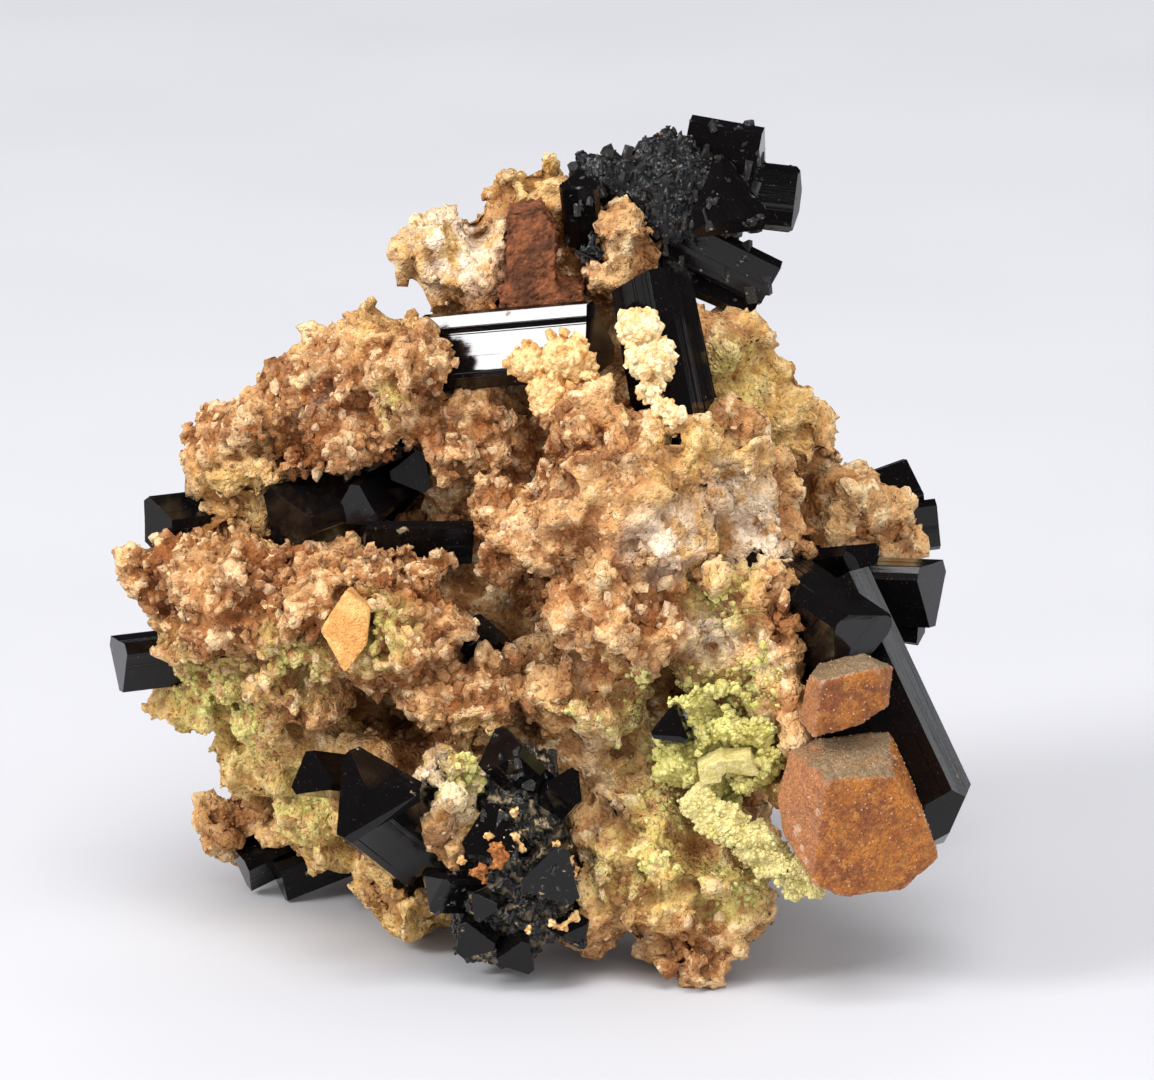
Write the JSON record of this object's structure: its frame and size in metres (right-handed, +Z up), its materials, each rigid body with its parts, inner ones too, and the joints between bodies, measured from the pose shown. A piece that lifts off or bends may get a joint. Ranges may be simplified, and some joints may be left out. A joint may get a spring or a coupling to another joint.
{
  "type": "black tourmaline cluster",
  "caption": "Hand specimen of black tourmaline: glossy three-sided prisms in several directions on crumbly ochre rock, with coated orange crystals and a pale green crust.",
  "frame": {"origin": "centre of the box around the specimen, on the plane that it rests on", "axes": "+Z up as it rests. -Y towards the side with the pointed crystals and the orange pair. +X to the right as seen from that side."},
  "size_m": [0.0498, 0.0358, 0.0468],
  "materials": {
    "rock": "rough, crumbly",
    "schorl": "glassy",
    "broken_schorl": "splintery, satin",
    "orange": "fine crystalline coat, satin",
    "rust": "rough",
    "tan": "rough",
    "crust": "fine crystalline"
  },
  "bodies": {
    "root": {"upright_prism": "schorl", "plate_prism": "schorl", "valley_cluster": "schorl", "valley_crystal": "schorl", "valley_prism": "schorl", "left_pair": "schorl", "left_prism": "schorl", "back_left_cluster": "schorl", "point_crystal": "schorl", "side_crystal": "schorl", "pit_prism": "schorl", "pit_crystal": "schorl", "right_twins": "schorl", "right_crystals": "schorl", "back_right_crystals": "schorl", "pocket_crystal": "schorl", "back_prism": "schorl", "back_pair": "schorl", "back_point_crystal": "schorl", "top_cluster": "broken_schorl", "lower_cluster": "broken_schorl", "orange_crystal_large": "orange", "orange_crystal_small": "orange", "rusty_block": "rust", "prism_crust": "tan", "plate_crust": "tan", "tan_plate": "tan", "green_tablets": "crust", "green_finger": "crust", "green_crust": "crust", "rock": "rock"}
  },
  "joints": []
}
